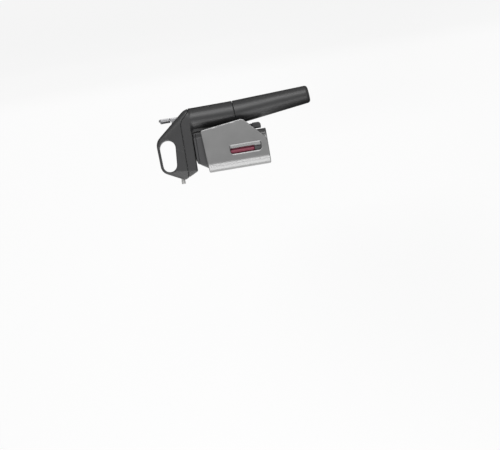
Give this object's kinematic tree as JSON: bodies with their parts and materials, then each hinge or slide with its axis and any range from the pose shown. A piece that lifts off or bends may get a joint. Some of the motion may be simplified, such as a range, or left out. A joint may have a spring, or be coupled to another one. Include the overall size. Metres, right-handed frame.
{
  "type": "wine preservation dispenser",
  "caption": "Handheld gas wine dispenser: sprung clamp for a bottle neck, sliding head with hollow needle, thumb trigger, spout and a screw-on cup for a gas capsule.",
  "frame": {"origin": "on the needle's axis, in the plane where the bottle's lip seats", "axes": "+Z along the needle, up from the bottle's lip towards the head; +X towards the handle, -X towards the spout; the clamp is a mirror image across Y = 0"},
  "size_m": [0.1079, 0.055, 0.2228],
  "materials": {
    "silver_panels": "satin metallic lacquer with a very fine flake",
    "black_shell": "fine moulded texture, satin",
    "charcoal": "glass-filled nylon, matt",
    "soft_grip": "soft moulded elastomer, wine red",
    "black_rubber": "moulded rubber, matt",
    "trigger_silver": "satin silver paint",
    "steel": "fine drawn and polished",
    "brass": "turned",
    "alloy": "machined and anodised",
    "ivory": "acetal, satin"
  },
  "bodies": {
    "clamp_base": {"yoke": "charcoal", "yoke_cover": "charcoal", "yoke_screws": "steel", "needle_guide": "ivory", "upper_bush": "ivory", "lip_gasket": "black_rubber", "hinge_pins": "steel", "jaw_spring_left": "steel", "jaw_spring_right": "steel"},
    "jaw_left": {"jaw_shell_left": "silver_panels", "jaw_carrier_left": "charcoal", "grip_pad_left": "soft_grip", "jaw_screws_left": "steel"},
    "jaw_right": {"jaw_shell_right": "silver_panels", "jaw_carrier_right": "charcoal", "grip_pad_right": "soft_grip", "jaw_screws_right": "steel"},
    "head": {"head_body": "black_shell", "head_cover": "black_shell", "cover_screws": "steel", "rail": "black_shell", "rail_stop": "charcoal", "rail_screws": "steel", "valve_block": "alloy", "needle_hub": "steel", "needle": "steel", "needle_seal": "black_rubber", "spout_tube": "steel", "spout_ring": "ivory", "valve_gland": "brass", "valve_spring": "steel", "trigger_pin": "steel", "gas_tube": "steel", "regulator_body": "brass", "regulator_cap": "alloy", "regulator_spring": "steel", "pierce_pin": "steel", "capsule_seal": "black_rubber", "cup_seal": "black_rubber", "relief_port": "steel"},
    "trigger_lever": {"trigger": "trigger_silver", "trigger_underlay": "charcoal"},
    "valve_core": {"valve_stem": "steel", "stem_seals": "black_rubber"},
    "piston": {"regulator_piston": "alloy"},
    "capsule": {"gas_capsule": "alloy"},
    "cup": {"cup_shell": "black_shell", "cup_liner": "alloy", "cup_foot": "black_rubber"}
  },
  "joints": [
    {"name": "head_slide", "type": "slide", "parent": "clamp_base", "child": "head", "axis": [0, 0, 1], "range_m": [0, 0.06]},
    {"name": "jaw_left_swing", "type": "hinge", "parent": "clamp_base", "child": "jaw_left", "pos_m": [0.021, -0.0195, 0.015], "axis": [0, 0, 1], "range_deg": [0, 12], "stiffness_Nm_per_rad": 0.6, "springref_deg": -20.05, "deforming": ["jaw_spring_left"]},
    {"name": "jaw_right_swing", "type": "hinge", "parent": "clamp_base", "child": "jaw_right", "pos_m": [0.021, 0.0195, 0.015], "axis": [0, 0, -1], "range_deg": [0, 12], "stiffness_Nm_per_rad": 0.6, "springref_deg": -20.05, "deforming": ["jaw_spring_right"]},
    {"name": "trigger_press", "type": "hinge", "parent": "head", "child": "trigger_lever", "pos_m": [0.0575, 0, 0.05], "axis": [0, -1, 0], "range_deg": [0, 8], "stiffness_Nm_per_rad": 0.2, "springref_deg": -14.32},
    {"name": "valve_travel", "type": "slide", "parent": "head", "child": "valve_core", "axis": [-1, 0, 0], "range_m": [0, 0.0015], "deforming": ["valve_spring"]},
    {"name": "piston_lift", "type": "slide", "parent": "head", "child": "piston", "axis": [-0.0837, 0, 0.9965], "range_m": [0, 0.0006], "stiffness_N_per_m": 3000, "springref_m": -0.002, "deforming": ["regulator_spring"]},
    {"name": "capsule_advance", "type": "slide", "parent": "head", "child": "capsule", "axis": [0.0837, 0, -0.9965], "range_m": [0, 0.011]},
    {"name": "cup_turn", "type": "hinge", "parent": "capsule", "child": "cup", "pos_m": [0.0554, 0, -0.0185], "axis": [0.0837, 0, -0.9965], "range_deg": [0, 1980]}
  ],
  "couplings": [
    {"joint": "valve_travel", "follows": "trigger_press", "m_per_rad": 0.0107},
    {"joint": "cup_turn", "follows": "capsule_advance", "rad_per_m": 3141.6}
  ]
}
